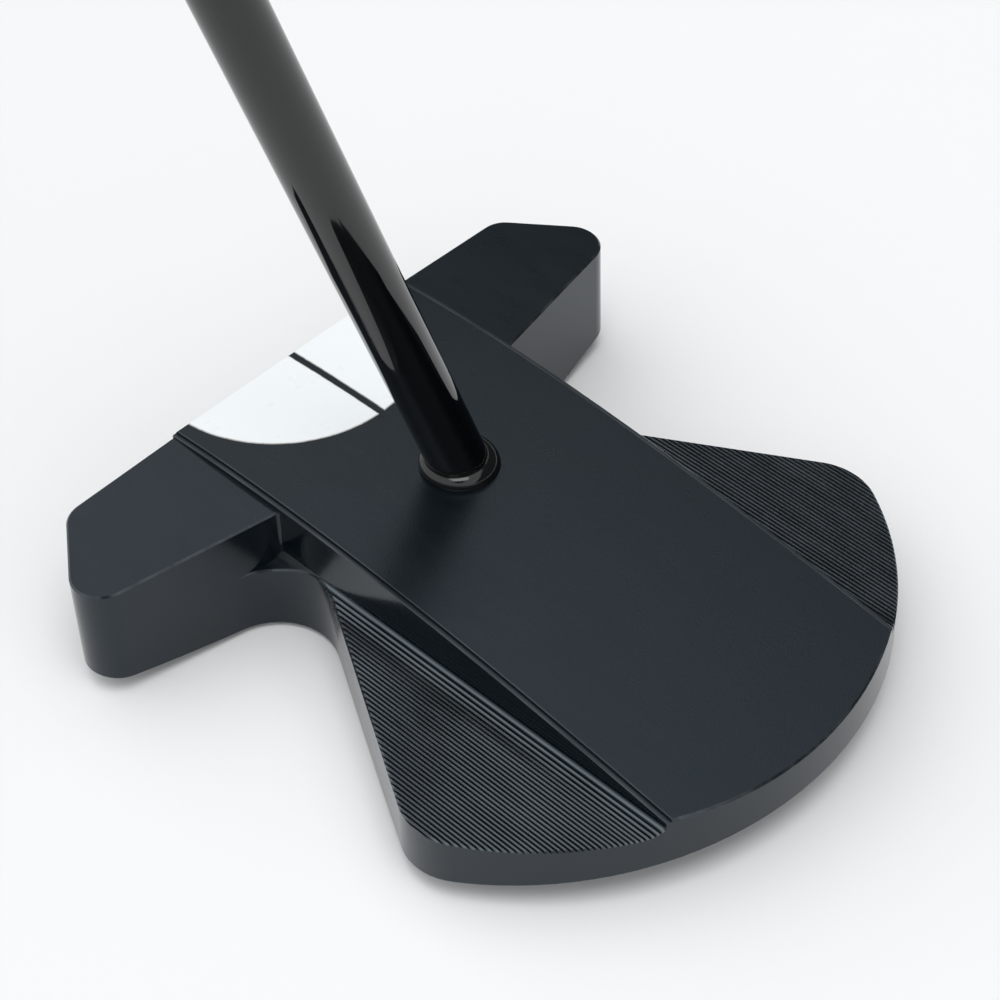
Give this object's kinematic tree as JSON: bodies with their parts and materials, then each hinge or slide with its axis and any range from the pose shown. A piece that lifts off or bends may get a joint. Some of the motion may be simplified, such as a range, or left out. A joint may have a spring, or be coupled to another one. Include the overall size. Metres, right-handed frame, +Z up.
{
  "type": "mallet putter",
  "caption": "Right-handed, centre-shafted mallet putter: milled black head with grooved fan tail, white half-moon and sight line, steel shaft and rubber grip.",
  "frame": {"origin": "on the sole's flat, midway between heel and toe and 20 mm behind the face plane", "axes": "+X from heel to toe, +Y the target direction (out of the face), +Z up from the sole; the shaft leans from +Z towards -X and slightly towards +Y"},
  "size_m": [0.3119, 0.1293, 0.8291],
  "materials": {
    "head_black": "bead-blasted satin black anodising",
    "fill_white": "white enamel fill, satin",
    "shaft_black": "gloss black plating on steel",
    "collar_black": "gloss black",
    "epoxy": "clear amber epoxy",
    "cork": "foam stopper",
    "weight_steel": "turned stainless steel",
    "washer_nylon": "black nylon",
    "tape": "double-sided cloth tape",
    "grip_foam": "EVA foam",
    "grip_rubber": "matt black, finely textured",
    "cap_plastic": "matt black"
  },
  "bodies": {
    "root": {"head_body": "head_black", "alignment_fill_heel": "fill_white", "alignment_fill_toe": "fill_white", "shaft": "shaft_black", "shaft_collar": "collar_black", "shaft_bond": "epoxy", "shaft_tip_plug": "cork", "heel_front_weight": "weight_steel", "heel_front_weight_washer": "washer_nylon", "heel_tail_weight": "weight_steel", "heel_tail_weight_washer": "washer_nylon", "toe_front_weight": "weight_steel", "toe_front_weight_washer": "washer_nylon", "toe_tail_weight": "weight_steel", "toe_tail_weight_washer": "washer_nylon", "grip_tape": "tape", "grip_core": "grip_foam", "grip_skin": "grip_rubber", "grip_end_cap": "cap_plastic", "grip_vent_plug": "cap_plastic"}
  },
  "joints": []
}
